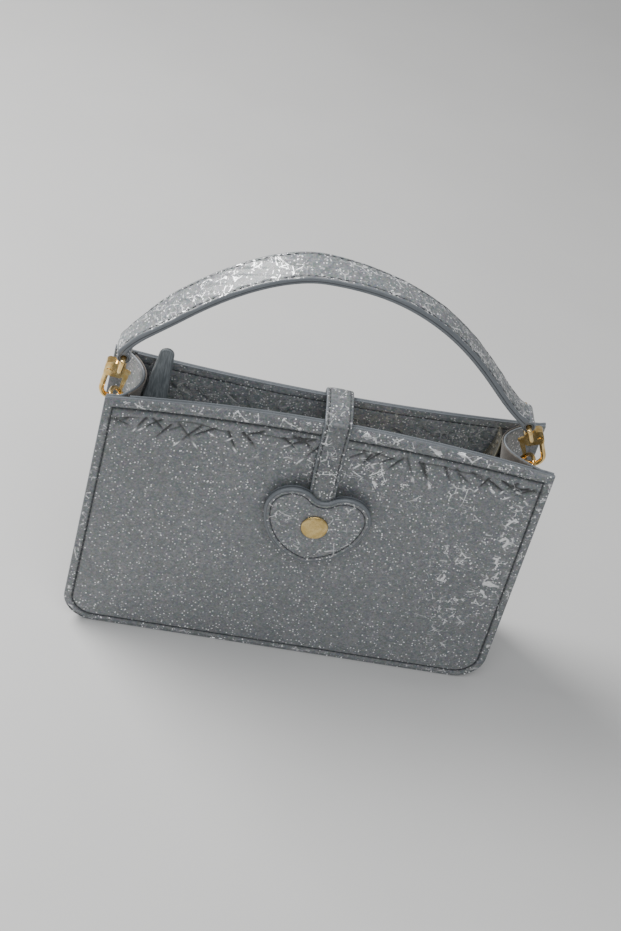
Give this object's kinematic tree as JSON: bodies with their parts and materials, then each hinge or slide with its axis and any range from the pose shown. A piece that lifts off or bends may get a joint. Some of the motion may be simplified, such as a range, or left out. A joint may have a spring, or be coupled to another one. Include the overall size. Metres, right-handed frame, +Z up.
{
  "type": "shoulder bag",
  "caption": "Small trapezoid shoulder bag with a recessed zip, a closing strap with a heart-shaped snap tab, and a short handle on swivel snap hooks.",
  "frame": {"origin": "on the floor under the middle of the bag", "axes": "-Y out of the front panel, +X to the right, +Z up"},
  "size_m": [0.2106, 0.0479, 0.2102],
  "materials": {
    "glitter_leather": "clear gloss over fine glitter, embossed with creases",
    "plain_leather": "smooth satin",
    "lining": "plain woven",
    "zip_tape": "woven",
    "gold": "polished plating",
    "spring_steel": "bright wire",
    "board": "matte"
  },
  "bodies": {
    "bag": {"front_panel": "glitter_leather", "back_panel": "glitter_leather", "gusset_left": "glitter_leather", "gusset_right": "glitter_leather", "base_strip": "glitter_leather", "base_board": "board", "front_facing": "glitter_leather", "back_facing": "glitter_leather", "lining_front": "lining", "lining_back": "lining", "lining_left": "lining", "lining_right": "lining", "lining_base": "lining", "zip_tape_front": "zip_tape", "zip_tape_back": "zip_tape", "zip_teeth_front": "gold", "zip_teeth_back": "gold", "zip_tail": "zip_tape", "zip_end_tab": "plain_leather", "ring_tab_left": "plain_leather", "ring_tab_right": "plain_leather", "closure_anchor": "glitter_leather", "snap_stud": "gold", "snap_washer": "gold"},
    "flap": {"closure_strap": "glitter_leather", "heart_front": "glitter_leather", "heart_back": "plain_leather", "snap_cap": "gold", "snap_socket": "gold"},
    "handle": {"handle_strap": "glitter_leather", "hook_eye_left": "gold", "hook_eye_right": "gold"},
    "slider": {"zip_slider": "gold"},
    "puller": {"zip_puller": "gold"},
    "hook_left": {"hook_body_left": "gold", "gate_pin_left": "gold", "gate_spring_left": "spring_steel"},
    "gate_left": {"hook_gate_left": "gold"},
    "ring_left": {"d_ring_left": "gold"},
    "hook_right": {"hook_body_right": "gold", "gate_pin_right": "gold", "gate_spring_right": "spring_steel"},
    "gate_right": {"hook_gate_right": "gold"},
    "ring_right": {"d_ring_right": "gold"}
  },
  "joints": [
    {"name": "handle_swing", "type": "hinge", "parent": "bag", "child": "handle", "pos_m": [-0.00112, 0, 0.12022], "axis": [0.9998, 0, 0.019], "range_deg": [-22, 22]},
    {"name": "flap_lift", "type": "hinge", "parent": "bag", "child": "flap", "pos_m": [0.002, 0.01203, 0.13915], "axis": [-1, 0, 0], "range_deg": [0, 100]},
    {"name": "zip_slide", "type": "slide", "parent": "bag", "child": "slider", "axis": [1, 0, 0], "range_m": [0, 0.031]},
    {"name": "puller_tilt", "type": "hinge", "parent": "slider", "child": "puller", "pos_m": [0.01215, 0.00075, 0.1162], "axis": [0, -1, 0], "range_deg": [0, 80]},
    {"name": "hook_swivel_left", "type": "hinge", "parent": "handle", "child": "hook_left", "pos_m": [-0.0986, 0, 0.125], "axis": [0.1392, 0, 0.9903], "range_deg": [-12, 12]},
    {"name": "gate_left", "type": "hinge", "parent": "hook_left", "child": "gate_left", "pos_m": [-0.10079, 0, 0.13813], "axis": [0, 1, 0], "range_deg": [0, 6], "stiffness_Nm_per_rad": 0.002, "springref_deg": -17.19},
    {"name": "ring_swing_left", "type": "hinge", "parent": "bag", "child": "ring_left", "pos_m": [-0.09401, 0, 0.11845], "axis": [0, 1, 0], "range_deg": [-3, 3]},
    {"name": "hook_swivel_right", "type": "hinge", "parent": "handle", "child": "hook_right", "pos_m": [0.0945, 0, 0.1295], "axis": [-0.4226, 0, 0.9063], "range_deg": [-12, 12]},
    {"name": "gate_right", "type": "hinge", "parent": "hook_right", "child": "gate_right", "pos_m": [0.09276, 0, 0.1427], "axis": [0, -1, 0], "range_deg": [0, 6], "stiffness_Nm_per_rad": 0.002, "springref_deg": -17.19},
    {"name": "ring_swing_right", "type": "hinge", "parent": "bag", "child": "ring_right", "pos_m": [0.09176, 0, 0.12198], "axis": [0, 1, 0], "range_deg": [-3, 3]}
  ]
}
